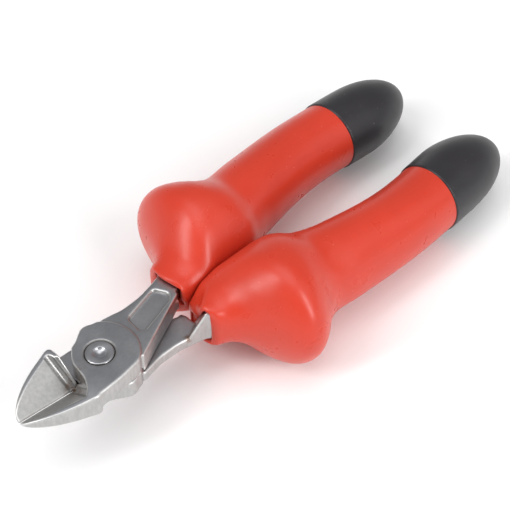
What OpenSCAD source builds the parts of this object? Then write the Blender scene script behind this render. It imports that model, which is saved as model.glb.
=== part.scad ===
// Insulated diagonal flush cutter, lying on its side and closed.
// Origin: on the pivot axis, half way through the joint. +X runs to the handles, +Z is the pivot axis.
// The upper lever has its handle at +Y and its jaw at -Y. The lower lever is the other way round.

/* [Joint] */
// Full thickness over the two joint faces
joint_t = 8.8; // [8.4:0.1:9.4]
// Full thickness over the two tangs
tang_t = 8.0; // [7.6:0.1:8.2]
// Radius of the raised round joint face
joint_face_r = 8.25; // [8.1:0.05:8.35]
// Radius of the rivet
rivet_r = 3.1; // [2.6:0.1:3.4]
// Radial running clearance of the rivet in the upper lever
rivet_clearance = 0.03; // [0.02:0.01:0.08]
// Chamfer round both rivet faces and the holes they sit in
rivet_chamfer = 0.25; // [0.1:0.05:0.35]

/* [Jaws] */
// Distance from the pivot axis to the jaw tips
jaw_reach = 20.6; // [20.4:0.1:21]
// Angle at which the flush underside rises towards the tips
flush_rise = 8; // [6:0.5:9]
// Angle of the cutting bevel above the flush underside
bevel_angle = 38.5; // [37:0.5:39.5]
// Gap from each cutting edge to the middle plane, closed
edge_gap = 0.02; // [0.02:0.01:0.06]

/* [Grips] */
// Distance from the pivot axis to the end of the red grip
grip_reach = 109.2; // [108:0.2:111]
// Gap from each grip to the middle plane, closed
grip_gap = 0.15; // [0.15:0.05:0.3]
// Wall of the red skin over the guard core
guard_skin = 1.8; // [1.4:0.1:2]
// Where the black end dip begins
dip_start = 84.6; // [80:0.2:90]
// How far the end dip stands proud of the red grip
dip_t = 0.3; // [0.2:0.05:0.4]
// Side wall of the inner insulation round the tang
liner_wall = 0.8; // [0.7:0.05:0.85]

/* [Hidden] */
$fn = 96;

joint_z = joint_t / 2;
tang_z = tang_t / 2;
// underside of the upper tang and top of the lower tang, outside the round lap
upper_lap_z = -0.9;
lower_lap_z = -1.3;
// the tangs are free to turn past the round lap face by this much
lap_step_clearance = 0.15;

// Smooth curves that make up the outline of a joint plate: its jaw root is at -Y and its shoulder at +Y
plate_front = [[-5.5, 1.6], [-5.75, 0.3], [-6.1, -2.3], [-6.8, -4], [-7.7, -5.3], [-8.9, -6.4]];
plate_flank = [[-8.9, -7.6], [-7.3, -8], [-5, -8], [-1.3, -7.85], [1.5, -7.5], [3.9, -7.1], [5.9, -6.5]];
plate_back = [[13, 5.9], [10.3, 5.9], [8.1, 6.3], [5.7, 6.7], [3.9, 6.95], [2.9, 7.4], [1.9, 7.6], [0.9, 7.4],
    [-0.3, 6.6], [-1.6, 5.7], [-3.2, 5]];
plate_corners = [[-3.2, 5], [-4.7, 3.1], [-5.5, 1.6]];

// Smooth curves along the bare tang from the joint to the mouth of the grip
mouth_x = 22;
tang_inner = [[5.9, -6.5], [13, -3.2], [21, 0.5], [mouth_x, 1.2]];
tang_outer = [[mouth_x, 7.6], [19.5, 6.9], [16, 6.1], [13.1, 5.9], [10.3, 5.9], [8.1, 6.3], [5.7, 6.7]];

// Toe that keeps the lap as wide as the grip in front of the mouth, below the tang's outer face
toe_plan = [[19.6, 0.15], [21.7, 0.15], [21.7, 4], [19.6, 4]];
toe_top = 2.6;

// The lap ends in a ramp down to full thickness; its foot runs parallel to the tang's inner wall
ramp_foot = [17.9, 6.3];
ramp_turn = -25.8;
ramp_angle = 63;

// Shallow pocket in the outer face of each tang
pocket_depth = 0.55;
pocket_r = 1;
pocket_corners = [[10.7, -0.7], [18.9, 1.6], [19.6, 2.4], [18.6, 4.3], [10.9, 2.3]];

// Outer flank of a jaw at +Y, from the shoulder to the tip
jaw_back_x = -6.2;
jaw_flank = [
    [jaw_back_x, 7.2], [-6.3, 7.8], [-6.75, 8.2], [-7.5, 8.15], [-8.9, 7.7], [-10.5, 7.2], [-12, 6.7], [-14, 5.9],
    [-16, 4.9], [-17.8, 3.8], [-19.1, 2.75], [-20, 1.8], [-20.45, 1], [-jaw_reach, edge_gap]];
// Top of a jaw in side view, from the tip to the back: x and z
jaw_top = [
    [-jaw_reach, 1.3], [-20.2, 1.65], [-19.2, 2.12], [-18.1, 2.5], [-16.2, 3], [-14.5, 3.35], [-12.2, 3.7],
    [-9, 4.1], [-7.4, 4.32], [jaw_back_x, joint_z]];
// Back end and height of the flush underside
flush_x = -6.9;
flush_z = -1.35;
// Back end of the bevel: its distance along the cutting edge from the end of the underside, and its slant
bevel_end = 1.4;
bevel_turn = 8.4;
// Round groove along the back end: radius, depth, and how far its axis lies behind the end
groove_r = 0.9;
groove_depth = 0.2;
groove_set = 0.6;
// Behind the groove a facet climbs at this angle, up to this height over the bevel
facet_angle = 32;
facet_rise = 1.6;
// Round relief between the jaws, behind the cutting edges
relief_x = -6.4;
relief_r = 0.2;

// Points that each stretch of a smooth outline is divided into
outline_steps = 4;

// Sections of the grip at points along X: outer side, inner side, half height, squareness
grip_x = [21, 23, 25, 28, 31, 35, 40, 44.5, 48.5, 55, 75, 94];
grip_outer = [9.7, 11.2, 12.7, 16.8, 24.6, 27.7, 25.9, 23, 22.3, 23, 24.3, 23.7];
grip_inner = [0.3, 0, -0.5, -1.3, -1.5, -0.5, -0.3, 0.2, 2.7, 5.2, 7.6, 6.2];
grip_half_h = [5.4, 5.6, 5.8, 6.8, 10, 13.6, 13.8, 12.3, 10.3, 9.9, 8.7, 8.2];
grip_square = [3.6, 3.2, 2.6, 2.2, 2, 2, 2, 2, 2, 2, 2, 2];
// Where the rounded end of the grip begins
cap_x = 92;

// Steel core inside the grip: points along X, middle line and half width
core_x = [22, 25, 28, 31, 35, 40, 48, 55, 64, 75, 96];
core_mid = [4.5, 7, 9.4, 11.3, 12.9, 13.3, 13, 14.1, 15.3, 16, 14.9];
core_half_w = [3.1, 3, 2.8, 2.6, 2.5, 2.5, 2.5, 2.5, 2.5, 2.5, 2.2];
core_end_x = 96;
// The tang keeps its full thickness a little way into the mouth, and is thinner beyond
thick_end_x = 24;
core_half_t = 3.2;

// Liner round the core, and the guard core round the liner
liner_start_x = 25;
liner_half_h = 4.6;
liner_square = 8;
liner_end_x = 99;
guard_start_x = 30;
guard_end_x = 46;

// Points round each ring of a grip layer: a multiple of 4, so that each has a point at every corner
ring_n = 28;
// Places of the rings along X: close together at the guard and round the end
body_rings = concat([for (x = [mouth_x : 1 : 35]) x], [for (x = [36 : 2 : 50]) x], [for (x = [56 : 6 : 80]) x],
    [dip_start, 88, cap_x]);
cap_turns = [for (a = [15 : 13 : 80]) a];

red = "#dc4a34";
black = "#38373b";
steel = "#8d8f93";
bright = "#a7a7ac";
amber = "#e8a33a";
ivory = "#d9d2c2";

// Slope of a smooth curve through the points (xs, ys) at point i
function knot_slope(xs, ys, i) =
    let (last = len(xs) - 1,
        before = i == 0 ? undef : (ys[i] - ys[i - 1]) / (xs[i] - xs[i - 1]),
        after = i == last ? undef : (ys[i + 1] - ys[i]) / (xs[i + 1] - xs[i]))
    i == 0 ? after : i == last ? before : before * after <= 0 ? 0 : 2 * before * after / (before + after);

// Index of the stretch of xs that holds x
function stretch(xs, x, i = 0) = i >= len(xs) - 2 || x < xs[i + 1] ? i : stretch(xs, x, i + 1);

// Smooth curve through the points (xs, ys), with no overshoot, held constant outside its ends
function curve(xs, ys, x_any) =
    let (x = max(xs[0], min(xs[len(xs) - 1], x_any)),
        i = stretch(xs, x),
        w = xs[i + 1] - xs[i],
        t = (x - xs[i]) / w,
        m0 = knot_slope(xs, ys, i) * w,
        m1 = knot_slope(xs, ys, i + 1) * w)
    (2 * pow(t, 3) - 3 * pow(t, 2) + 1) * ys[i] + (pow(t, 3) - 2 * pow(t, 2) + t) * m0
    + (3 * pow(t, 2) - 2 * pow(t, 3)) * ys[i + 1] + (pow(t, 3) - pow(t, 2)) * m1;

function ring_angle(k) = 45 + 360 * k / ring_n;
// Part of a squared circle: cosine or sine c drawn out towards its sign
function squared(c, power) = sign(c) * pow(abs(c), 2 / power);

// Ring of points at x round the middle y, with half width, half height and squareness
function oval_ring(x, mid, half_w, half_h, power, lowest_y) =
    [for (k = [0 : ring_n - 1])
        [x, max(lowest_y, mid + half_w * squared(cos(ring_angle(k)), power)),
            half_h * squared(sin(ring_angle(k)), power)]];

// Ring of the same number of points on a rectangle, starting at its top outer corner
function box_ring(x, mid, half_w, half_h) =
    [for (k = [0 : ring_n - 1])
        let (edge = floor(4 * k / ring_n), t = 4 * k / ring_n - edge, along = 1 - 2 * t)
        edge == 0 ? [x, mid + half_w * along, half_h]
        : edge == 1 ? [x, mid - half_w, half_h * along]
        : edge == 2 ? [x, mid - half_w * along, -half_h]
        : [x, mid + half_w, -half_h * along]];

// Ring of the grip's surface at x, grown by grow and shrunk to scale at the rounded end
function grip_ring(x, grow = 0, scale = 1) =
    let (outer = curve(grip_x, grip_outer, x), inner = curve(grip_x, grip_inner, x))
    oval_ring(x, (outer + inner) / 2, ((outer - inner) / 2 + grow) * scale,
        (curve(grip_x, grip_half_h, x) + grow) * scale, curve(grip_x, grip_square, x), grip_gap - min(grow, 0));

// Rings of the rounded end of a grip layer, grown by grow
function cap_rings(grow = 0) =
    [for (a = cap_turns)
        let (x = cap_x + (grip_reach - cap_x) * sin(a) / sin(cap_turns[len(cap_turns) - 1]))
        [for (p = grip_ring(x, grow, cos(a))) p + [grow * sin(a), 0, 0]]];

function core_mid_at(x) = curve(core_x, core_mid, x);
function core_half_w_at(x) = curve(core_x, core_half_w, x);

// Ring of the liner's outside, which is also the red grip's inside
function liner_ring(x) =
    oval_ring(x, core_mid_at(x), core_half_w_at(x) + liner_wall, liner_half_h, liner_square, -1e3);

// Rings between two places, ends included, at the same places as the grip's own rings
function places(from, to) = concat([from], [for (x = body_rings) if (x > from && x < to) x], [to]);
function reverse(list) = [for (i = [len(list) - 1 : -1 : 0]) list[i]];

function middle(ring) = [for (p = ring) 1] * ring / len(ring);

// Solid through a row of rings: closed by a fan of triangles at both ends, or joined end to end as a loop
module loft(rings, loop = false) {
    count = len(rings);
    // each four-sided patch is split the same way whichever way the rings run, so that layers meet exactly
    sides = [for (i = [0 : (loop ? count : count - 1) - 1], k = [0 : ring_n - 1], half = [0, 1])
        let (a = i * ring_n, b = ((i + 1) % count) * ring_n, next = (k + 1) % ring_n,
            forward = rings[i][0][0] < rings[(i + 1) % count][0][0])
        forward ? (half == 0 ? [b + next, a + next, a + k] : [b + k, b + next, a + k])
        : (half == 0 ? [b + k, b + next, a + next] : [b + k, a + next, a + k])];
    first_middle = count * ring_n;
    last_ring = first_middle - ring_n;
    ends = loop ? [] : [for (k = [0 : ring_n - 1], last = [0, 1])
        let (next = (k + 1) % ring_n)
        last == 0 ? [first_middle, k, next] : [first_middle + 1, last_ring + next, last_ring + k]];
    ring_points = [for (ring = rings, p = ring) p];
    polyhedron(points = loop ? ring_points : concat(ring_points, [middle(rings[0]), middle(rings[count - 1])]),
        faces = concat(sides, ends), convexity = 6);
}

module to_lower_side() mirror([0, 1, 0]) children();

// Closed polygon with a round of radius r at every corner
function rounded(corners, r) =
    [for (i = [0 : len(corners) - 1])
        let (n = len(corners), p = corners[i],
            from_prev = p - corners[(i + n - 1) % n], to_next = corners[(i + 1) % n] - p,
            a0 = atan2(from_prev[1], from_prev[0]) - 90, a1 = atan2(to_next[1], to_next[0]) - 90,
            turn = (a1 - a0 + 540) % 360 - 180)
        for (s = [0 : 4]) p + r * [cos(a0 + turn * s / 4), sin(a0 + turn * s / 4)]];

// Points of a smooth curve through knots, from the first to the last
function smooth(knots) =
    let (last = len(knots) - 1)
    [for (i = [0 : last - 1], s = [0 : outline_steps - (i == last - 1 ? 0 : 1)])
        let (t = s / outline_steps, a = knots[i], b = knots[i + 1],
            before = i == 0 ? 2 * a - b : knots[i - 1], after = i == last - 1 ? 2 * b - a : knots[i + 2])
        0.5 * (2 * a + (b - before) * t + (2 * before - 5 * a + 4 * b - after) * t * t
            + (3 * a - before - 3 * b + after) * t * t * t)];

module plate_plan() polygon(concat(
    smooth(plate_front), smooth(plate_flank), [[13, -3.2]], smooth(plate_back), plate_corners));

module tang_plan() polygon(concat(smooth(tang_inner), smooth(tang_outer), [[0, 3], [0, -3]]));

// Everything below the top of a lever in side view, which slopes down along the jaw
module under_top() {
    translate([0, 20, 0]) rotate([90, 0, 0]) linear_extrude(40)
        polygon(concat(smooth(jaw_top), [[20, joint_z], [20, -10], [-jaw_reach, -10]]));
}

module slab(z0, z1) translate([0, 0, z0]) linear_extrude(z1 - z0) children();

// The tang's plan beyond the foot of the ramp, as far as the end of the steel
module handle_plan(from, to) {
    xs = places(from, to);
    polygon(concat(
        [for (x = xs) [x, core_mid_at(x) - core_half_w_at(x)]],
        [for (x = reverse(xs)) [x, core_mid_at(x) + core_half_w_at(x)]]));
}

// Joint plate, tang and core of a lever whose handle is at +Y and whose outer face is +Z
module lever_shank(lap_z) {
    difference() {
        union() {
            intersection() {
                slab(0, joint_z) intersection() {
                    plate_plan();
                    union() {
                        circle(joint_face_r);
                        translate([-20, -20]) square([20, 40]);
                    }
                }
                under_top();
            }
            slab(max(lap_z, 0), tang_z) tang_plan();
            slab(max(lap_z, 0), toe_top) polygon(toe_plan);
            if (lap_z < 0) slab(lap_z, 0.01) difference() {
                tang_plan();
                circle(joint_face_r + lap_step_clearance);
            }
            difference() {
                slab(-tang_z, tang_z) {
                    intersection() {
                        tang_plan();
                        translate([12, -10]) square([20, 30]);
                    }
                    handle_plan(mouth_x, thick_end_x);
                }
                translate([ramp_foot[0], ramp_foot[1], lap_z]) rotate([0, 0, ramp_turn]) rotate([-ramp_angle, 0, 0])
                    translate([-30, -30, -20]) cube([60, 60, 20]);
            }
            slab(-core_half_t, core_half_t) handle_plan(thick_end_x, core_end_x);
        }
        slab(tang_z - pocket_depth, tang_z + 1) polygon(rounded(pocket_corners, pocket_r));
    }
}

// Cutting jaw at +Y, with its bevel on top and its flush side below
module jaw() {
    flush_side = [[jaw_back_x, flush_z], [flush_x, flush_z],
        [-jaw_reach, flush_z + (jaw_reach + flush_x) * tan(flush_rise)]];
    difference() {
        intersection() {
            slab(-joint_z, joint_z) polygon(concat(smooth(jaw_flank), [[jaw_back_x, edge_gap]]));
            translate([0, 10, 0]) rotate([90, 0, 0]) linear_extrude(12)
                polygon(concat(smooth(jaw_top), flush_side));
        }
        bevel_cut();
        throat_relief();
    }
}

// What the bevel, and the groove and the facet behind it, take away from a jaw
module bevel_cut() {
    translate([flush_x, edge_gap, flush_z]) rotate([0, flush_rise, 0]) rotate([bevel_angle, 0, 0])
        translate([-bevel_end, 0, 0]) rotate([0, 0, bevel_turn]) {
            translate([-30, -30, 0]) cube([30, 60, 20]);
            translate([groove_set, 30, groove_r - groove_depth]) rotate([90, 0, 0]) cylinder(r = groove_r, h = 60);
            rotate([0, -facet_angle, 0]) translate([0, -30, 0]) cube([30, 60, 20]);
            translate([0, -30, facet_rise]) cube([30, 60, 20]);
        }
}

// Everything below the ground underside at a jaw root
module flush_cut() {
    translate([flush_x, 0, flush_z]) rotate([0, flush_rise, 0]) translate([-20, -15, -10]) cube([20, 30, 10]);
}

module throat_relief() {
    translate([relief_x, 0, -10]) cylinder(r = relief_r, h = 20);
}

// Hole through both joint plates, chamfered at the outer faces
module rivet_hole(r) {
    translate([0, 0, -10]) cylinder(r = r, h = 20);
    for (s = [-1, 1]) scale([1, 1, s]) translate([0, 0, joint_z - rivet_chamfer])
        cylinder(r1 = r, r2 = r + 2 * rivet_chamfer, h = 2 * rivet_chamfer);
}

module upper_lever() {
    color(steel) difference() {
        union() {
            lever_shank(upper_lap_z);
            to_lower_side() jaw();
        }
        rivet_hole(rivet_r + rivet_clearance);
    }
}

module lower_lever() {
    color(steel) difference() {
        union() {
            difference() {
                rotate([180, 0, 0]) lever_shank(-lower_lap_z);
                flush_cut();
            }
            jaw();
        }
        rivet_hole(rivet_r);
    }
}

// Flush round rivet with a round dimple in both faces
module pivot_rivet() {
    dimple_r = 1.5;
    dimple_ball_r = 2;
    dimple_depth = dimple_ball_r - sqrt(pow(dimple_ball_r, 2) - pow(dimple_r, 2));
    color(bright) difference() {
        rotate_extrude() polygon([
            [0, -joint_z], [rivet_r - rivet_chamfer, -joint_z], [rivet_r, rivet_chamfer - joint_z],
            [rivet_r, joint_z - rivet_chamfer], [rivet_r - rivet_chamfer, joint_z], [0, joint_z]]);
        for (s = [-1, 1]) translate([0, 0, s * (joint_z + dimple_ball_r - dimple_depth)]) sphere(dimple_ball_r);
    }
}

module inner_insulation() {
    color(amber) loft(concat(
        reverse([for (x = places(liner_start_x, core_end_x))
            box_ring(x, core_mid_at(x), core_half_w_at(x), core_half_t)]),
        [for (x = places(liner_start_x, core_end_x)) liner_ring(x)],
        [liner_ring(liner_end_x)]));
}

module guard_core() {
    color(ivory) loft(concat(
        reverse([for (x = places(guard_start_x, guard_end_x)) liner_ring(x)]),
        [for (x = places(guard_start_x, guard_end_x)) grip_ring(x, -guard_skin)]), loop = true);
}

module outer_grip() {
    color(red) loft(concat(
        [liner_ring(liner_end_x)],
        reverse([for (x = places(guard_end_x, core_end_x)) liner_ring(x)]),
        reverse([for (x = places(guard_start_x, guard_end_x)) grip_ring(x, -guard_skin)]),
        reverse([for (x = places(mouth_x, guard_start_x)) liner_ring(x)]),
        [for (x = body_rings) grip_ring(x)],
        cap_rings()));
}

module end_dip() {
    dip_places = [for (x = body_rings) if (x >= dip_start) x];
    color(black) loft(concat(
        reverse(concat([for (x = dip_places) grip_ring(x)], cap_rings())),
        [for (x = dip_places) grip_ring(x, dip_t)],
        cap_rings(dip_t)));
}

module upper_inner_insulation() inner_insulation();
module lower_inner_insulation() to_lower_side() inner_insulation();
module upper_guard_core() guard_core();
module lower_guard_core() to_lower_side() guard_core();
module upper_outer_grip() outer_grip();
module lower_outer_grip() to_lower_side() outer_grip();
module upper_end_dip() end_dip();
module lower_end_dip() to_lower_side() end_dip();

upper_lever();
lower_lever();
pivot_rivet();
upper_inner_insulation();
lower_inner_insulation();
upper_guard_core();
lower_guard_core();
upper_outer_grip();
lower_outer_grip();
upper_end_dip();
lower_end_dip();
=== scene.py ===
import math

import bmesh
import bpy
import numpy as np
import openvdb as vdb
from mathutils import Matrix, Vector


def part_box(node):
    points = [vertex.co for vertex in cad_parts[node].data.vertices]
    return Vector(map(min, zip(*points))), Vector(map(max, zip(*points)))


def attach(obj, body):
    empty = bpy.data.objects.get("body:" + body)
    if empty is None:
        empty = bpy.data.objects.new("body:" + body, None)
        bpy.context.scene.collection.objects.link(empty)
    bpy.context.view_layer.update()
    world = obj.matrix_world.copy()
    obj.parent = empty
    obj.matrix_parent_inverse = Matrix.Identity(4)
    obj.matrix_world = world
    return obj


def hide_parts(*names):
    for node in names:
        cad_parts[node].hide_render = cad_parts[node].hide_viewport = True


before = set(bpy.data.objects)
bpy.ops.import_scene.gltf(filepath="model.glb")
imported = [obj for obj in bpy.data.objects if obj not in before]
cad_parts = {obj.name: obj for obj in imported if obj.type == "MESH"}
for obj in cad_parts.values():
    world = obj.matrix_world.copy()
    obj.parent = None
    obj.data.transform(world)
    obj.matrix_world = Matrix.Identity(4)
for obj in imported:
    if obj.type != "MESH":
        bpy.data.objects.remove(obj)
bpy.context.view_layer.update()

# Shapes are worked out in millimetres, with the upper lever's side at +Y. The lower side is the upper one
# turned half a turn about the X axis, so SIDES holds the sign of both Y and Z.
MM = 0.001
SIDES = {"upper": 1, "lower": -1}
BODY = {"upper": "upper_half", "lower": "lower_half"}

# ---------------------------------------------------------------- camera and light

CAMERA_AZIMUTH, CAMERA_ELEVATION = math.radians(-45.18), math.radians(46.2)
CAMERA_PLACE = (-0.08367, -0.12683, 0.18755)
CAMERA_LENS, CAMERA_SENSOR = 83.3, 36

# Brightness of the studio's walls from straight below to straight above, as share of the way and grey
STUDIO_WALLS = ((0.0, 0.75), (0.15, 0.7), (0.42, 0.26), (0.86, 0.30), (1.0, 2.5))
TOOL_MIDDLE, JAW_MIDDLE = (0.045, 0, 0), (-0.015, 0, 0)
# Each light's place, what it is aimed at, its width and height in metres, and its power in watts
LIGHTS = {
    "left_strip": ((-0.95, 0.35, 0.85), TOOL_MIDDLE, (0.30, 1.20), 9),
    "right_strip": ((0.12, -1.27, 0.775), TOOL_MIDDLE, (0.30, 1.20), 10.5),
    "jaw_panel": ((0.61, -0.75, 0.81), JAW_MIDDLE, (0.80, 0.80), 1.3),
}


def make_camera():
    """Camera at the reference view: from the jaws' side, over the lower lever."""
    level = math.cos(CAMERA_ELEVATION)
    back = Vector((math.sin(CAMERA_AZIMUTH) * level, -math.cos(CAMERA_AZIMUTH) * level,
                   math.sin(CAMERA_ELEVATION)))
    right = Vector((math.cos(CAMERA_AZIMUTH), math.sin(CAMERA_AZIMUTH), 0))
    data = bpy.data.cameras.new("camera")
    data.sensor_width = CAMERA_SENSOR
    data.lens = CAMERA_LENS
    camera = bpy.data.objects.new("camera", data)
    turn = Matrix((right, back.cross(right), back)).transposed().to_4x4()
    camera.matrix_world = Matrix.Translation(CAMERA_PLACE) @ turn
    bpy.context.collection.objects.link(camera)
    bpy.context.scene.camera = camera


def area_light(name, place, target, size, power):
    data = bpy.data.lights.new(name, "AREA")
    data.shape = "RECTANGLE"
    data.size, data.size_y = size
    data.energy = power
    light = bpy.data.objects.new(name, data)
    light.location = place
    light.rotation_euler = (Vector(target) - light.location).to_track_quat("-Z", "Y").to_euler()
    bpy.context.collection.objects.link(light)


def make_studio():
    """Soft grey surroundings with a bright ceiling, which the glossy surfaces reflect."""
    world = bpy.data.worlds.new("studio")
    bpy.context.scene.world = world
    world.use_nodes = True
    tree = world.node_tree
    place = tree.nodes.new("ShaderNodeTexCoord")
    split = tree.nodes.new("ShaderNodeSeparateXYZ")
    ramp = tree.nodes.new("ShaderNodeValToRGB")
    tree.links.new(place.outputs["Generated"], split.inputs["Vector"])
    tree.links.new(split.outputs["Z"], ramp.inputs["Fac"])
    tree.links.new(ramp.outputs["Color"], tree.nodes["Background"].inputs["Color"])
    while len(ramp.color_ramp.elements) < len(STUDIO_WALLS):
        ramp.color_ramp.elements.new(0.5)
    for element, (position, grey) in zip(ramp.color_ramp.elements, STUDIO_WALLS):
        element.position = position
        element.color = (grey, grey, grey, 1)
    bpy.context.scene.view_settings.view_transform = "Standard"


def make_lights():
    for name, settings in LIGHTS.items():
        area_light(name, *settings)


# ---------------------------------------------------------------- materials

RED, BLACK = (0.615, 0.045, 0.021), (0.024, 0.022, 0.025)
LINER_ORANGE, COLLAR_CREAM = (0.80, 0.36, 0.04), (0.66, 0.60, 0.50)
FORGED, GROUND, BEVEL = (0.485, 0.48, 0.47), (0.41, 0.415, 0.435), (0.62, 0.62, 0.65)
# EDGE_WEAR_AND_GLINT lightens convex edges as wear plus a painted highlight. GRIME_AND_SHADE is painted
# shade, with some grime, in creases, the throat and the gap round the rivet.
EDGE_WEAR_AND_GLINT, RUST, GRIME_AND_SHADE = (0.85, 0.85, 0.84), (0.20, 0.085, 0.03), (0.035, 0.03, 0.026)
# How finely the steel's grinding lines and forged grain repeat along each axis, and how the lines are turned
GRIND_LINES, GRIND_TURN = (1100, 2600, 1100), 0.45
FORGE_GRAIN = (1500, 1500, 420)


class Finish:
    """Shorthand for building a node material around one Principled shader."""

    def __init__(self, name):
        self.material = bpy.data.materials.new(name)
        self.material.use_nodes = True
        self.tree = self.material.node_tree
        self.shader = self.tree.nodes["Principled BSDF"]
        self.place = self.add("ShaderNodeTexCoord").outputs["Object"]

    def add(self, kind, **settings):
        node = self.tree.nodes.new(kind)
        for key, value in settings.items():
            setattr(node, key, value)
        return node

    def link(self, source, target):
        self.tree.links.new(source, target)

    def drive(self, name, source):
        self.link(source, self.shader.inputs[name])

    def fix(self, **values):
        for key, value in values.items():
            self.shader.inputs[key.replace("_", " ")].default_value = value

    def attribute(self, name):
        return self.add("ShaderNodeAttribute", attribute_name=name).outputs["Fac"]

    def stretched(self, scale, turn=0.0):
        """The object's own coordinates, scaled along each axis and turned about Z."""
        mapping = self.add("ShaderNodeMapping")
        mapping.inputs["Scale"].default_value = scale
        mapping.inputs["Rotation"].default_value = (0, 0, turn)
        self.link(self.place, mapping.inputs["Vector"])
        return mapping.outputs["Vector"]

    def noise(self, scale, detail=4, rough=0.5, place=None):
        node = self.add("ShaderNodeTexNoise")
        node.inputs["Scale"].default_value = scale
        node.inputs["Detail"].default_value = detail
        node.inputs["Roughness"].default_value = rough
        self.link(place or self.place, node.inputs["Vector"])
        return node.outputs["Fac"]

    def ramp(self, fac, low_colour, high_colour, low=0.3, high=0.7):
        """Colour that goes from the first to the second as fac goes from low to high."""
        node = self.add("ShaderNodeValToRGB")
        stops = ((low, low_colour), (high, high_colour))
        for element, (position, colour) in zip(node.color_ramp.elements, stops):
            element.position = position
            element.color = (*colour, 1)
        self.link(fac, node.inputs["Fac"])
        return node.outputs["Color"]

    def scaled(self, fac, to_low, to_high, low=0.3, high=0.7):
        """Number that goes from to_low to to_high as fac goes from low to high."""
        node = self.add("ShaderNodeMapRange")
        limits = {"From Min": low, "From Max": high, "To Min": to_low, "To Max": to_high}
        for key, value in limits.items():
            node.inputs[key].default_value = value
        self.link(fac, node.inputs["Value"])
        return node.outputs["Result"]

    def math(self, operation, a, b, clamp=False):
        node = self.add("ShaderNodeMath", operation=operation, use_clamp=clamp)
        for socket, value in zip(node.inputs, (a, b)):
            if isinstance(value, bpy.types.NodeSocket):
                self.link(value, socket)
            else:
                socket.default_value = value
        return node.outputs["Value"]

    def mix(self, fac, a, b, blend="MIX"):
        node = self.add("ShaderNodeMix", data_type="RGBA", blend_type=blend)
        for key, value in (("Factor", fac), ("A", a), ("B", b)):
            socket = next(s for s in node.inputs if s.name == key and s.enabled)
            if isinstance(value, bpy.types.NodeSocket):
                self.link(value, socket)
            elif key == "Factor":
                socket.default_value = value
            else:
                socket.default_value = (*value, 1)
        return next(s for s in node.outputs if s.enabled)

    def bump(self, height, distance, strength=1.0, under=None):
        node = self.add("ShaderNodeBump")
        node.inputs["Distance"].default_value = distance
        node.inputs["Strength"].default_value = strength
        self.link(height, node.inputs["Height"])
        if under is not None:
            self.link(under, node.inputs["Normal"])
        return node.outputs["Normal"]


def shade_of(colour, factor):
    return tuple(min(1.0, c * factor) for c in colour)


def vinyl(name, colour, rough, dust, coat=0.06):
    """Dip-moulded vinyl: cloudy colour, softly glossy, slightly uneven, with fine dust in the skin."""
    m = Finish(name)
    tone = m.ramp(m.noise(70, detail=3), shade_of(colour, 0.94), shade_of(colour, 1.04))
    specks = m.scaled(m.noise(2200, detail=2, rough=0.4), 0, 0.55, low=0.74, high=0.80)
    m.drive("Base Color", m.mix(specks, tone, dust))
    m.drive("Roughness", m.scaled(m.noise(230), rough - 0.04, rough + 0.06))
    grain = m.bump(m.noise(1800, detail=3, rough=0.6), distance=0.00002, strength=0.4)
    waves = m.bump(m.noise(110, detail=2), distance=0.0003, strength=0.25, under=grain)
    m.drive("Normal", waves)
    m.fix(IOR=1.43, Coat_Weight=coat, Coat_Roughness=0.2)
    return m.material


def lever_steel():
    """Forged steel whose ground faces, worn edges with a painted highlight, and corners darkened with painted
    shade and grime follow the mesh's own attributes.
    """
    m = Finish("lever_steel")
    ground, bevel = m.attribute("ground"), m.attribute("bevel")
    edge, shade_and_grime_mask, rust = m.attribute("edge"), m.attribute("shade_and_grime_mask"), m.attribute("rust")
    lines = m.noise(1.0, detail=5, rough=0.7, place=m.stretched(GRIND_LINES, GRIND_TURN))
    cloud = m.noise(150, rough=0.6)
    grain = m.noise(1.0, rough=0.6, place=m.stretched(FORGE_GRAIN))
    forged = m.ramp(grain, shade_of(FORGED, 0.88), shade_of(FORGED, 1.10))
    milled = m.ramp(lines, shade_of(GROUND, 0.92), shade_of(GROUND, 1.08))
    polished = m.ramp(lines, shade_of(BEVEL, 0.95), shade_of(BEVEL, 1.04))
    tone = m.mix(bevel, m.mix(ground, forged, milled), polished)
    tone = m.mix(1.0, tone, m.ramp(cloud, (0.91, 0.915, 0.925), (1, 1, 1)), blend="MULTIPLY")
    # Convex edges lightened: partly wear, partly a painted highlight.
    tone = m.mix(m.math("MULTIPLY", edge, 0.55), tone, EDGE_WEAR_AND_GLINT)
    spots = m.scaled(m.noise(520, detail=5, rough=0.7), 0, 1, low=0.50, high=0.62)
    tone = m.mix(m.math("MULTIPLY", rust, spots, True), tone, RUST)
    # Painted shade, with some grime, in creases, the throat, the jaws' meeting line and the gap round the
    # rivet: darker, rougher and less metallic.
    painted_shade_and_grime = m.math("MULTIPLY", shade_and_grime_mask, m.scaled(cloud, 0.55, 1.0), True)
    tone = m.mix(painted_shade_and_grime, tone, GRIME_AND_SHADE)
    m.drive("Base Color", tone)
    satin = m.math("ADD", m.scaled(cloud, 0.31, 0.41), m.math("MULTIPLY", bevel, -0.20))
    m.drive("Roughness", m.math("ADD", satin, m.math("MULTIPLY", painted_shade_and_grime, 0.3), True))
    m.drive("Metallic", m.math("SUBTRACT", 1.0, m.math("MULTIPLY", painted_shade_and_grime, 0.7), True))
    scratched = m.bump(lines, distance=0.000010, strength=0.6)
    pits = m.math("MULTIPLY", grain, m.math("SUBTRACT", 1.0, ground))
    pitted = m.bump(pits, distance=0.000016, strength=0.6, under=scratched)
    m.drive("Normal", m.bump(cloud, distance=0.00002, strength=0.2, under=pitted))
    return m.material


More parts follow.
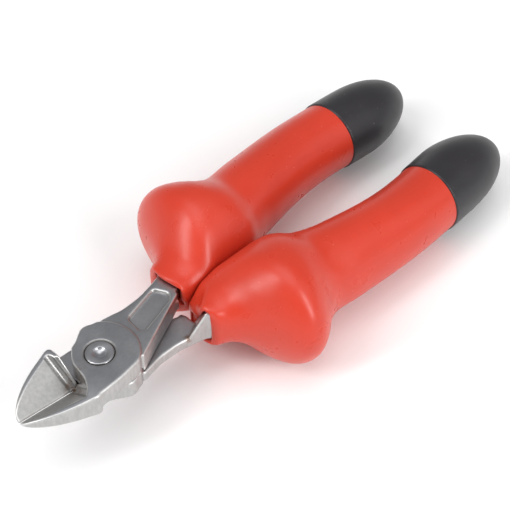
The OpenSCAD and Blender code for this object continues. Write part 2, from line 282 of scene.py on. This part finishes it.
def rivet_metal():
    """Turned and polished rivet: circular tool marks round the pivot axis."""
    m = Finish("rivet_metal")
    rings = m.add("ShaderNodeTexWave", wave_type="RINGS", rings_direction="Z")
    rings.inputs["Scale"].default_value = 900
    rings.inputs["Distortion"].default_value = 1.5
    m.link(m.place, rings.inputs["Vector"])
    cloud = m.noise(300)
    tone = m.ramp(cloud, shade_of(GROUND, 1.02), shade_of(GROUND, 1.22))
    # The rivet's wall in the gap is darkened with painted shade.
    m.drive("Base Color", m.mix(m.math("MULTIPLY", m.attribute("shade_and_grime_mask"), 0.9), tone, GRIME_AND_SHADE))
    m.drive("Roughness", m.scaled(cloud, 0.28, 0.40))
    m.drive("Normal", m.bump(rings.outputs["Fac"], distance=0.000004, strength=0.5))
    m.fix(Metallic=1.0)
    return m.material


def make_finishes():
    return {
        "red": vinyl("red_vinyl", RED, rough=0.30, dust=(0.95, 0.35, 0.26)),
        "black": vinyl("black_vinyl", BLACK, rough=0.38, dust=(0.25, 0.23, 0.23)),
        "liner": vinyl("liner_vinyl", LINER_ORANGE, rough=0.5, dust=(0.9, 0.6, 0.2)),
        "collar": vinyl("collar_vinyl", COLLAR_CREAM, rough=0.5, dust=(0.8, 0.75, 0.65)),
        "steel": lever_steel(),
        "rivet": rivet_metal(),
    }


def paint(obj, material):
    obj.data.materials.clear()
    obj.data.materials.append(material)


# ---------------------------------------------------------------- grips

# Sections of the grip at points along X: outer side, inner side, half height, squareness
GRIP_X = (21, 23, 25, 28, 31, 33.5, 36.5, 40, 44.5, 48.5, 55, 75, 94)
GRIP_OUTER = (9.7, 11.2, 12.7, 16.9, 24.3, 27.1, 27.7, 26.1, 23, 22.3, 23, 24.3, 23.7)
GRIP_INNER = (0.3, 0, -0.5, -1.3, -1.5, -0.8, -0.4, -0.3, 0.2, 2.7, 5.2, 7.6, 6.2)
GRIP_HALF_H = (5.4, 5.6, 5.8, 6.9, 10.3, 12.7, 13.75, 13.6, 12.2, 10.3, 9.9, 8.7, 8.2)
GRIP_SQUARE = (3.6, 3.2, 2.6, 2.2, 2, 2, 2, 2, 2, 2, 2, 2, 2)
RING_N = 120
# The sections are averaged over a reach that grows by SOFT_GAIN over a stretch past the mouth
SOFT_REACH, SOFT_GAIN, SOFT_START_X, SOFT_LENGTH = 0.8, 0.9, 24, 8
SOFT_WEIGHTS = {-1: 1, -0.5: 2, 0: 3, 0.5: 2, 1: 1}
# Gap to the middle plane, how far along X the grips are flattened for it, and how softly
GRIP_GAP, GAP_END_X, GAP_BLEND = 0.15, 62, 0.04
# Rounded end of the grip: where it starts and ends, and its share of a quarter turn in degrees
CAP_X, GRIP_END_X, CAP_ANGLE, CAP_RINGS = 92.0, 109.19, 84, 28
# Black dip: where it starts, how far it stands proud, how deep its inside lies, and its front edge
DIP_X, DIP_T, DIP_SINK = 84.6, 0.3, 0.05
DIP_EDGE_LENGTH, DIP_EDGE_RINGS = 0.45, 8
# How far behind that edge the dip's inside and its even skin start
DIP_INSIDE_START, DIP_SKIN_START = 0.4, 0.7

# Bare tang at the mouth: its inner and outer walls along X, and the lap and ramp on its inner corner.
# The depth of the lap is measured along Z, from the middle of the joint away from the lever's outer face.
TANG_X = (20, 21, 22, 25, 28, 31)
TANG_INNER = (0.2, 0.5, 0.9, 4.0, 6.6, 8.7)
TANG_OUTER = (7.0, 7.3, 7.6, 10.0, 12.2, 13.9)
TANG_HALF_H = 4.0
LAP_DEPTH = {"upper": 0.9, "lower": -1.3}
RAMP_FOOT_X, RAMP_FOOT_Y = 17.9, 6.3
RAMP_TURN, RAMP_ANGLE = math.radians(25.8), math.radians(63)
# A ray slower than this towards a wall never reaches it, and its exit counts as this far off
NO_SPEED, NO_EXIT = 1e-9, 1e3
# Skin over the lap, where it starts to thicken, how fast it does, and where the cut corner ends
LAP_SKIN, LAP_SKIN_X, LAP_SKIN_RISE, CORNER_END_X = 2.2, 23.3, 0.58, 33
# Softness of the cut corner, and of its meeting with the rest of the skin
CORNER_BLEND, SKIN_BLEND = 0.7, 0.2
# Point that the rays of a section start from: how far inside the tang's outer wall and how high it is at the
# mouth, and where along X it starts to move to the section's middle
HEART_INSET, HEART_Z, HEART_START_X, HEART_LENGTH = 0.6, 2.6, 23, 9

# Mouth: where its lip and the end of its hole lie, and how far the lip rolls forward
LIP_X, HOLE_END_X, LIP_ROLL, LIP_RINGS = 22.75, 24.9, 0.65, 16
# Clearance of the hole to the tang at its end and at the lip, the bulge of the lip, and how fast both fade
SNUG_CLEARANCE, MOUTH_CLEARANCE, LIP_BULGE, LIP_FADE = 0.05, 0.3, 0.06, 0.9
# Least wall between the hole and the gap, and softness of the hole's corners
HOLE_WALL, HOLE_CORNER_BLEND, HOLE_BLEND = 0.4, 0.12, 0.06
# Set-back of the mouth's rim along X. It slants back by SLANT_BACK from SLANT_Y to the middle plane, and by
# SLANT_OUT for each mm outwards from there. The whole rim is moved forward by RIM_FORWARD.
SLANT_Y, SLANT_BACK, SLANT_POWER, SLANT_OUT, RIM_FORWARD = 6, 1.35, 1.4, 0.15, 0.25
# Further set-back on the inner side, near the floor: its size, and where it starts and is full in Y and in Z
INNER_SETBACK = {"upper": (0.7, (5.4, 0.4), (0.9, -0.6)), "lower": (0.8, (2.8, 0.4), (-0.3, 1.7))}
# Further set-back over the lower lever's lap: its size, its middle and width in Y, and where it starts and is
# full in Z. The lower lever's rim is set back by MOST_SETBACK at most.
LAP_SETBACK, LAP_SETBACK_Y, LAP_SETBACK_WIDTH, LAP_SETBACK_Z = 1.5, 2.8, 1.9, (1.6, 0.2)
MOST_SETBACK = 2.0
# Length over which the skin takes up the set-back of the rim
SETBACK_LENGTH = 8
# Spacing of the rings along X, and how far the red skin runs on under the black dip
HOLE_STEP, SKIN_STEP, DIP_STEP, DIP_INSIDE_STEP = 0.15, 0.35, 0.5, 1
UNDER_DIP = 3


def unit(value):
    """The value, held between 0 and 1."""
    return max(0.0, min(1.0, value))


def rising(value, start, full):
    """0 at start and beyond it, 1 at full and beyond it, and straight between them."""
    return unit((value - start) / (full - start))


def knot_slope(xs, ys, i):
    """Slope of the smooth curve at point i: the harmonic mean of the slopes beside it."""
    slopes = [(ys[j + 1] - ys[j]) / (xs[j + 1] - xs[j]) for j in (i - 1, i) if 0 <= j < len(xs) - 1]
    if len(slopes) == 1:
        return slopes[0]
    before, after = slopes
    return 0 if before * after <= 0 else 2 * before * after / (before + after)


def curve(xs, ys, x):
    """Smooth curve through points, with no overshoot, held constant outside its ends."""
    x = max(xs[0], min(xs[-1], x))
    i = 0
    while i < len(xs) - 2 and x >= xs[i + 1]:
        i += 1
    w = xs[i + 1] - xs[i]
    t = (x - xs[i]) / w
    m0, m1 = knot_slope(xs, ys, i) * w, knot_slope(xs, ys, i + 1) * w
    return ((2 * t**3 - 3 * t**2 + 1) * ys[i] + (t**3 - 2 * t**2 + t) * m0
            + (3 * t**2 - 2 * t**3) * ys[i + 1] + (t**3 - t**2) * m1)


def soft_curve(xs, ys, x):
    """curve() averaged over a stretch, so that it has no sudden change of bend."""
    reach = SOFT_REACH + SOFT_GAIN * unit((x - SOFT_START_X) / SOFT_LENGTH)
    total = sum(weight * curve(xs, ys, x + share * reach) for share, weight in SOFT_WEIGHTS.items())
    return total / sum(SOFT_WEIGHTS.values())


def squared(c, power):
    """Cosine or sine c, pushed outwards so that a ring of them is squarer at a higher power."""
    return math.copysign(abs(c) ** (2 / power), c)


def smooth_min(a, b, reach):
    """The smaller of two values, rounded off where they are closer than reach."""
    h = max(0.0, reach - abs(a - b)) / reach
    return min(a, b) - h * h * reach / 4


def smooth_max(a, b, reach):
    return -smooth_min(-a, -b, reach)


def exit_of(start, ray, normal, offset):
    """How many lengths a ray runs from start before it leaves the half plane normal . p <= offset."""
    speed = normal[0] * ray[0] + normal[1] * ray[1]
    if speed < NO_SPEED:
        return NO_EXIT
    return (offset - normal[0] * start[0] - normal[1] * start[1]) / speed


def corner_exit(which, x, start, ray, skin, blend):
    """Exit through the cut corner: past the lap and past the ramp, both covered by that much skin."""
    foot_y = RAMP_FOOT_Y - (x - RAMP_FOOT_X) * math.tan(RAMP_TURN)
    lap = LAP_DEPTH[which]
    steep = math.atan(math.tan(RAMP_ANGLE) * math.cos(RAMP_TURN))
    across = (-math.sin(steep), -math.cos(steep))
    past_lap = exit_of(start, ray, (0, -1), lap + skin)
    past_ramp = exit_of(start, ray, across, across[0] * foot_y - across[1] * lap + skin)
    return smooth_max(past_lap, past_ramp, blend)


def section_heart(x):
    """Point inside the section at x that sees all of its outline."""
    t = unit((x - HEART_START_X) / HEART_LENGTH)
    t = t * t * (3 - 2 * t)
    outer, inner = curve(GRIP_X, GRIP_OUTER, x), curve(GRIP_X, GRIP_INNER, x)
    in_tang = curve(TANG_X, TANG_OUTER, x) - HEART_INSET
    return in_tang * (1 - t) + (outer + inner) / 2 * t, HEART_Z * (1 - t)


def grip_section(which, x, grow=0.0, scale=1.0):
    """Ring of the grip's surface, with the corner over the tang's lap drawn in near the mouth."""
    outer, inner = soft_curve(GRIP_X, GRIP_OUTER, x), soft_curve(GRIP_X, GRIP_INNER, x)
    mid, half_w = (outer + inner) / 2, ((outer - inner) / 2 + grow) * scale
    half_h = (soft_curve(GRIP_X, GRIP_HALF_H, x) + grow) * scale
    power = soft_curve(GRIP_X, GRIP_SQUARE, x)
    heart = section_heart(x)
    skin = LAP_SKIN + LAP_SKIN_RISE * (x - LAP_SKIN_X)
    ring = []
    for k in range(RING_N):
        a = 2 * math.pi * (k + 0.5) / RING_N
        y = mid + half_w * squared(math.cos(a), power)
        z = half_h * squared(math.sin(a), power)
        if x < GAP_END_X:
            ray = (y - heart[0], z - heart[1])
            reach = smooth_min(1, exit_of(heart, ray, (-1, 0), min(grow, 0) - GRIP_GAP), GAP_BLEND)
            if x < CORNER_END_X:
                corner = corner_exit(which, x, heart, ray, skin, CORNER_BLEND)
                reach = smooth_min(reach, corner, SKIN_BLEND)
            y, z = heart[0] + reach * ray[0], heart[1] + reach * ray[1]
        ring.append(Vector((x, y, z)))
    return ring


def hole_section(which, x, clearance):
    """Ring of the mouth's hole, which follows the tang's section at a clearance."""
    inner = curve(TANG_X, TANG_INNER, x) - clearance
    outer = curve(TANG_X, TANG_OUTER, x) + clearance
    heart = (outer - clearance - HEART_INSET, HEART_Z)
    ring = []
    for p in grip_section(which, x):
        ray = (p.y - heart[0], p.z - heart[1])
        reach = exit_of(heart, ray, (0, 1), TANG_HALF_H + clearance)
        for wall in (exit_of(heart, ray, (0, -1), TANG_HALF_H + clearance),
                     exit_of(heart, ray, (1, 0), outer),
                     exit_of(heart, ray, (-1, 0), -max(inner, GRIP_GAP + HOLE_WALL)),
                     corner_exit(which, x, heart, ray, clearance, HOLE_CORNER_BLEND)):
            reach = smooth_min(reach, wall, HOLE_BLEND)
        ring.append(Vector((x, heart[0] + reach * ray[0], heart[1] + reach * ray[1])))
    return ring


def join_rows(bm, rows):
    """Faces between each ring of vertices and the next."""
    for a, b in zip(rows, rows[1:]):
        for k in range(len(a)):
            n = (k + 1) % len(a)
            bm.faces.new((a[k], a[n], b[n], b[k]))


def loft(name, rings, side):
    """Closed mesh through rings of points, turned to its side."""
    mesh = bpy.data.meshes.new(name)
    bm = bmesh.new()
    rows = [[bm.verts.new((p.x * MM, side * p.y * MM, side * p.z * MM)) for p in ring] for ring in rings]
    join_rows(bm, rows)
    for row in (rows[0], rows[-1]):
        middle = bm.verts.new(sum((v.co for v in row), Vector()) / RING_N)
        for k in range(RING_N):
            bm.faces.new((middle, row[k], row[(k + 1) % RING_N]))
    bmesh.ops.recalc_face_normals(bm, faces=bm.faces)
    bm.to_mesh(mesh)
    bm.free()
    return link_smooth(name, mesh)


def link_smooth(name, mesh):
    """New object in the scene with smooth shading."""
    mesh.polygons.foreach_set("use_smooth", [True] * len(mesh.polygons))
    obj = bpy.data.objects.new(name, mesh)
    bpy.context.collection.objects.link(obj)
    return obj


def span(start, stop, spacing):
    """Evenly spaced values from start to stop, about that far apart."""
    count = max(1, round(abs(stop - start) / spacing))
    return [start + (stop - start) * i / count for i in range(count + 1)]


def cap_sections(which, grow):
    """Rings of the grip's rounded end."""
    rings = []
    for i in range(1, CAP_RINGS + 1):
        a = math.radians(CAP_ANGLE * i / CAP_RINGS)
        x = CAP_X + (GRIP_END_X - CAP_X) * math.sin(a) / math.sin(math.radians(CAP_ANGLE))
        forward = Vector((grow * math.sin(a), 0, 0))
        rings.append([p + forward for p in grip_section(which, x, grow, math.cos(a))])
    return rings


def rim_setback(which, y, z):
    """How far back along X the mouth's rim is set at a point of its outline."""
    inwards, outwards = max(0.0, 1 - y / SLANT_Y), max(0.0, y - SLANT_Y)
    slant = SLANT_BACK * inwards**SLANT_POWER + SLANT_OUT * outwards - RIM_FORWARD
    size, y_limits, z_limits = INNER_SETBACK[which]
    inner = size * rising(y, *y_limits) * rising(z, *z_limits)
    if which == "upper":
        return slant + inner
    over_lap = math.exp(-((y - LAP_SETBACK_Y) / LAP_SETBACK_WIDTH) ** 2) * rising(z, *LAP_SETBACK_Z)
    return min(MOST_SETBACK, slant + max(LAP_SETBACK * over_lap, inner))


def set_back(which, ring, share):
    """The ring with that share of the rim's set-back added to each of its points."""
    return [p + Vector((share * rim_setback(which, p.y, p.z), 0, 0)) for p in ring]


def red_grip(which, material):
    """Red outer insulation: the hole, the rolled lip of the mouth and the skin, as one closed mesh."""
    hole = []
    for x in span(HOLE_END_X, LIP_X, HOLE_STEP):
        near_lip = math.exp(-((x - LIP_X) / LIP_FADE) ** 2)
        clearance = SNUG_CLEARANCE + (MOUTH_CLEARANCE - SNUG_CLEARANCE) * near_lip
        share = (HOLE_END_X - x) / (HOLE_END_X - LIP_X)
        hole.append(set_back(which, hole_section(which, x, clearance), share))
    skin = []
    for x in span(LIP_X, DIP_X + UNDER_DIP, SKIN_STEP):
        bulge = LIP_BULGE * math.exp(-((x - LIP_X) / LIP_FADE) ** 2)
        share = max(0.0, 1 - (x - LIP_X) / SETBACK_LENGTH) ** 2
        skin.append(set_back(which, grip_section(which, x, bulge), share))
    lip = []
    for i in range(1, LIP_RINGS):
        a = math.pi * i / LIP_RINGS
        forward = Vector((-LIP_ROLL * math.sin(a), 0, 0))
        across = 0.5 - 0.5 * math.cos(a)
        lip.append([inside.lerp(outside, across) + forward for outside, inside in zip(skin[0], hole[-1])])
    obj = loft(f"{which}_red_grip", hole + lip + skin, SIDES[which])
    paint(obj, material)
    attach(obj, BODY[which])
    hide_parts(f"{which}_outer_grip")


def black_dip(which, material):
    """Black end dip: a thin skin over the red one, with a rounded front edge."""
    inside = [grip_section(which, x, -DIP_SINK)
              for x in span(CAP_X, DIP_X + DIP_INSIDE_START, DIP_INSIDE_STEP)]
    edge = []
    for i in range(DIP_EDGE_RINGS):
        a = math.pi / 2 * i / (DIP_EDGE_RINGS - 1)
        height = (DIP_T + DIP_SINK) * math.sin(a) - DIP_SINK
        edge.append(grip_section(which, DIP_X + DIP_EDGE_LENGTH * (1 - math.cos(a)), height))
    skin = [grip_section(which, x, DIP_T) for x in span(DIP_X + DIP_SKIN_START, CAP_X, DIP_STEP)]
    rings = inside + edge + skin + cap_sections(which, DIP_T)
    obj = loft(f"{which}_black_dip", rings, SIDES[which])
    paint(obj, material)
    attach(obj, BODY[which])
    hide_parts(f"{which}_end_dip")


# ---------------------------------------------------------------- levers

# The head, which is the part of a lever outside its grip, is remade on a grid of voxels. The distance field
# is known for BAND voxels to each side of the surface.
VOXEL, BAND = 0.13, 6
# Corners of that grid
HEAD_LOW, HEAD_HIGH = (-21.5, -12.5, -5.2), (26.5, 12.5, 5.2)
# Where the head is cut off inside the grip, how far the rest of the lever overlaps it, and the distance at
# which the CAD mesh's doubled points are merged
HEAD_END_X, CORE_OVERLAP = 25.5, 0.4
MERGE_DISTANCE = 0.002
# Blurs that ease the ground edges and the forged edges
FINE_BLUR, SOFT_BLUR = 0.13, 0.27
# The jaw starts between these distances in front of the pivot axis; its blade is this deep behind the edge,
# is thickened by this much, and is cut off flat at this distance from the middle plane
JAW_START, BLADE_DEPTH, BLADE_GROWTH, BLADE_CUT_Y = (6.8, 7.6), 3.5, 0.08, -0.03
# Where the forged side walls and the forged shank start, and the share of the soft blur that they take
SIDE_WALL_START, SHANK_START, FORGED_SHARE = (6.3, 7.0), (9.5, 11), 0.5
# Thin web that closes the throat between the two jaw roots, just over the flush underside. Its height is
# measured towards world +Z, because the underside of both jaws faces down.
WEB_MIDDLE, WEB_HALF_SIZE = (-7.0, -0.45, -1.2), (1.3, 0.5, 0.14)
BEVEL_ANGLE, FLUSH_RISE = math.radians(38.5), math.radians(8)
RIVET_R = 3.1
# A face counts as ground or as the bevel from the first of these cosines, and fully from the second
FACING = (0.955, 0.985)
# Middle and size of the throat, which gets rust and painted shade
THROAT_X, THROAT_R = -6.6, 3.2
# Height just under the joint face, over which the gap round the rivet gets no painted shade
GAP_TOP_Z = 4.395


def blurred(field, width):
    """Gaussian blur of a field, with its width in mm."""
    sigma = width / VOXEL
    reach = max(1, math.ceil(2.5 * sigma))
    weights = [math.exp(-0.5 * (i / sigma) ** 2) for i in range(-reach, reach + 1)]
    for axis in range(3):
        out = np.zeros_like(field)
        for i, w in zip(range(-reach, reach + 1), weights):
            out += (w / sum(weights)) * np.roll(field, i, axis)
        field = out
    return field


def step(value, low, high):
    """Smooth step from 0 at low to 1 at high."""
    t = np.clip((value - low) / (high - low), 0, 1)
    return t * t * (3 - 2 * t)


def distance_field(mesh):
    """Signed distance in mm to a CAD mesh, on the head's grid."""
    points = np.zeros(len(mesh.vertices) * 3, np.float32)
    mesh.vertices.foreach_get("co", points)
    points = (points.reshape(-1, 3) / MM - np.array(HEAD_LOW, np.float32)) / VOXEL
    mesh.calc_loop_triangles()
    corners = np.zeros(len(mesh.loop_triangles) * 3, np.int32)
    mesh.loop_triangles.foreach_get("vertices", corners)
    grid = vdb.FloatGrid.createLevelSetFromPolygons(
        np.ascontiguousarray(points, np.float32), triangles=corners.reshape(-1, 3).astype(np.uint32),
        transform=vdb.createLinearTransform(1.0), halfWidth=float(BAND))
    size = [round((high - low) / VOXEL) + 1 for low, high in zip(HEAD_LOW, HEAD_HIGH)]
    field = np.zeros(size, np.float32)
    grid.copyToArray(field)
    return field * VOXEL


def sample(field, places):
    """Values of a field at places between its grid points, by linear interpolation."""
    low = np.clip(np.floor(places).astype(int), 0, np.array(field.shape) - 2)
    part = places - low
    value = 0
    for corner in np.ndindex(2, 2, 2):
        share = np.prod(np.where(corner, part, 1 - part), axis=1)
        i, j, k = (low + corner).T
        value = value + share * field[i, j, k]
    return value


def set_attribute(mesh, name, values):
    attribute = mesh.attributes.new(name, "FLOAT", "POINT")
    attribute.data.foreach_set("value", values.astype(np.float32))


def head_fields(source, side):
    """The head's distance field with its edges eased, and its bend: above 0 at edges, below 0 in corners."""
    field = distance_field(source)
    xs, ys, zs = (low + VOXEL * np.arange(n, dtype=np.float32) for low, n in zip(HEAD_LOW, field.shape))
    x, y, z = xs[:, None, None], side * ys[None, :, None], zs[None, None, :]
    fine, soft = blurred(field, FINE_BLUR), blurred(field, SOFT_BLUR)
    jaw = step(-x, *JAW_START)
    blade = jaw * (1 - step(-y, 0, BLADE_DEPTH))
    forged = step(np.abs(y), *SIDE_WALL_START) * (1 - jaw) + step(x, *SHANK_START)
    weight = np.clip(FORGED_SHARE * forged, 0, 1)
    eased = fine * (1 - weight) + soft * weight - BLADE_GROWTH * blade
    web = np.maximum(np.maximum(np.abs(x - WEB_MIDDLE[0]) - WEB_HALF_SIZE[0],
                                np.abs(y - WEB_MIDDLE[1]) - WEB_HALF_SIZE[1]),
                     np.abs(z - WEB_MIDDLE[2]) - WEB_HALF_SIZE[2])
    eased = np.minimum(eased, web)
    eased = np.maximum(eased, jaw * (y - BLADE_CUT_Y) - (1 - jaw))
    eased = np.maximum(eased, x - HEAD_END_X)
    return eased, soft - fine


def mark_surfaces(mesh, spots, bend, side):
    """Attributes that the lever's material reads: ground faces, bevel, worn edges with a painted highlight,
    painted shade and grime in corners, and rust.
    """
    normals = np.zeros(len(mesh.vertices) * 3, np.float32)
    mesh.vertices.foreach_get("normal", normals)
    normals = normals.reshape(-1, 3) * (1, side, side)
    bevel_normal = np.array((math.sin(FLUSH_RISE), math.sin(BEVEL_ANGLE), side * math.cos(BEVEL_ANGLE)))
    bevel_normal /= np.linalg.norm(bevel_normal)
    x, y, z = spots.T
    radius = np.hypot(x, y)
    on_jaw = step(-x, *JAW_START)
    throat = step(THROAT_R - np.hypot(x - THROAT_X, 0.9 * y), 0, 2.6)
    # The jaws' meeting line gets painted shade and a little rust.
    edge_line = on_jaw * step(0.45 - np.abs(y), 0, 0.4)
    ramp_root = step(1.6 - np.hypot(x - RAMP_FOOT_X, y - RAMP_FOOT_Y), 0, 1.4)
    rivet_gap = step(0.42 - np.abs(radius - RIVET_R), 0, 0.12) * step(GAP_TOP_Z - np.abs(z), 0, 0.06)
    # Concave corners and the gap round the rivet get painted shade.
    hollow = step(-bend, 0.025, 0.08) + 0.8 * rivet_gap
    set_attribute(mesh, "ground", step(np.abs(normals[:, 2]), *FACING))
    set_attribute(mesh, "bevel", step(normals @ bevel_normal, *FACING) * on_jaw)
    # Convex edges away from the rivet get wear and a painted highlight.
    set_attribute(mesh, "edge", step(bend, 0.030, 0.075) * step(radius - RIVET_R, 0.3, 0.6))
    set_attribute(mesh, "shade_and_grime_mask", np.clip(0.9 * hollow + 0.65 * throat + 0.5 * edge_line, 0, 1))
    set_attribute(mesh, "rust", np.clip(throat + 0.3 * edge_line + 0.8 * ramp_root, 0, 1))


def head_mesh(name, source, side):
    """The lever's head with its edges eased: finely where it is ground, more where it is forged."""
    field, bend = head_fields(source, side)
    grid = vdb.FloatGrid(BAND * VOXEL)
    grid.copyFromArray(np.ascontiguousarray(field, np.float32))
    places, quads = grid.convertToQuads(isovalue=0.0)
    spots = places * VOXEL + np.array(HEAD_LOW)
    mesh = bpy.data.meshes.new(name)
    mesh.from_pydata(spots * MM, [], quads[:, ::-1].tolist())
    mesh.validate()
    mesh.update()
    mark_surfaces(mesh, spots * (1, side, side), sample(bend, places), side)
    return mesh


def hidden_core(source):
    """The rest of the CAD lever, inside the grip, as a bmesh."""
    bm = bmesh.new()
    bm.from_mesh(source)
    bmesh.ops.remove_doubles(bm, verts=bm.verts, dist=MERGE_DISTANCE * MM)
    plane_x = (HEAD_END_X - CORE_OVERLAP) * MM
    cut = bmesh.ops.bisect_plane(bm, geom=bm.verts[:] + bm.edges[:] + bm.faces[:],
                                 plane_co=(plane_x, 0, 0), plane_no=(1, 0, 0), clear_inner=True)
    bmesh.ops.holes_fill(bm, edges=[e for e in cut["geom_cut"] if isinstance(e, bmesh.types.BMEdge)])
    return bm


def steel_lever(which, material):
    """Forged lever: the remade head, and the CAD lever's own tang inside the grip."""
    name = f"{which}_steel_lever"
    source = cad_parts[f"{which}_lever"].data
    mesh = head_mesh(name, source, SIDES[which])
    bm = hidden_core(source)
    bm.from_mesh(mesh)
    bm.to_mesh(mesh)
    bm.free()
    obj = link_smooth(name, mesh)
    paint(obj, material)
    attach(obj, BODY[which])
    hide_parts(f"{which}_lever")


# ---------------------------------------------------------------- rivet

RIVET_CHAMFER, RIVET_GAP = 0.25, 0.01
# Dimple: its radius, the radius of the ball that pressed it, and the depth and width of its rolled rim
DIMPLE_R, DIMPLE_BALL_R = 1.5, 2.0
RIM_DEPTH, RIM_WIDTH = 0.06, 0.12
RIVET_SIDES, PROFILE_STEP = 144, 0.08


def rivet_profile(top):
    """Half of the rivet's profile as radius and height, from the bottom of its dimple to the middle plane."""
    ball_z = top + math.sqrt(DIMPLE_BALL_R**2 - DIMPLE_R**2)
    profile = [(DIMPLE_BALL_R * math.sin(a), ball_z - DIMPLE_BALL_R * math.cos(a))
               for a in span(0.02, math.asin((DIMPLE_R - RIM_WIDTH) / DIMPLE_BALL_R), PROFILE_STEP)]
    profile += [(DIMPLE_R + d, top - RIM_DEPTH * math.exp(-4 * (d + RIM_WIDTH)))
                for d in span(-0.06, 0.5, PROFILE_STEP)]
    profile += [(r, top) for r in span(DIMPLE_R + 0.6, RIVET_R - RIVET_CHAMFER - 0.05, 0.2)]
    profile += [(RIVET_R - RIVET_CHAMFER, top - 0.015),
                (RIVET_R - 0.04, top - RIVET_CHAMFER + 0.05),
                (RIVET_R - RIVET_GAP, top - RIVET_CHAMFER - 0.02),
                (RIVET_R - RIVET_GAP, 0)]
    return profile


def steel_rivet(material):
    """The rivet turned from its profile, with its wall in the gap marked for painted shade."""
    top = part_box("pivot_rivet")[1].z / MM
    half = rivet_profile(top)
    profile = half + [(r, -z) for r, z in reversed(half[:-1])]
    bm = bmesh.new()
    layer = bm.verts.layers.float.new("shade_and_grime_mask")
    rows = []
    for r, z in profile:
        row = []
        for k in range(RIVET_SIDES):
            a = 2 * math.pi * k / RIVET_SIDES
            v = bm.verts.new((r * math.cos(a) * MM, r * math.sin(a) * MM, z * MM))
            # The wall inside the gap is marked for painted shade.
            v[layer] = 1.0 if r > RIVET_R - 0.1 else 0.0
            row.append(v)
        rows.append(row)
    join_rows(bm, rows)
    for row in (rows[0], rows[-1]):
        bm.faces.new(row)
    bmesh.ops.recalc_face_normals(bm, faces=bm.faces)
    mesh = bpy.data.meshes.new("steel_rivet")
    bm.to_mesh(mesh)
    bm.free()
    obj = link_smooth("steel_rivet", mesh)
    paint(obj, material)
    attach(obj, "lower_half")
    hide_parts("pivot_rivet")


# ---------------------------------------------------------------- floor

# Where the guards and the grips' ends touch the floor, and half the floor's width
FLOOR_FRONT, FLOOR_BACK = Vector((0.038, 0, -0.01395)), Vector((0.100, 0, -0.0086))
FLOOR_HALF_WIDTH, FLOOR_SQUARES = 1.5, 40


def make_floor():
    """Pale studio floor, tilted so that the guards and the grips' ends stand on it."""
    bm = bmesh.new()
    bmesh.ops.create_grid(bm, x_segments=FLOOR_SQUARES, y_segments=FLOOR_SQUARES, size=FLOOR_HALF_WIDTH)
    mesh = bpy.data.meshes.new("floor")
    bm.to_mesh(mesh)
    bm.free()
    floor = bpy.data.objects.new("floor", mesh)
    bpy.context.collection.objects.link(floor)
    floor.location = FLOOR_FRONT
    rise = FLOOR_BACK - FLOOR_FRONT
    floor.rotation_euler = (0, -math.atan2(rise.z, rise.x), 0)
    m = Finish("floor_paper")
    m.drive("Base Color", m.ramp(m.noise(40, detail=3), (0.965, 0.965, 0.965), (0.985, 0.985, 0.985)))
    m.fix(Roughness=0.8)
    paint(floor, m.material)


make_camera()
make_studio()
make_lights()
make_floor()
finishes = make_finishes()
for side_name in SIDES:
    red_grip(side_name, finishes["red"])
    black_dip(side_name, finishes["black"])
    steel_lever(side_name, finishes["steel"])
    paint(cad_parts[f"{side_name}_inner_insulation"], finishes["liner"])
    paint(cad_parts[f"{side_name}_guard_core"], finishes["collar"])
steel_rivet(finishes["rivet"])
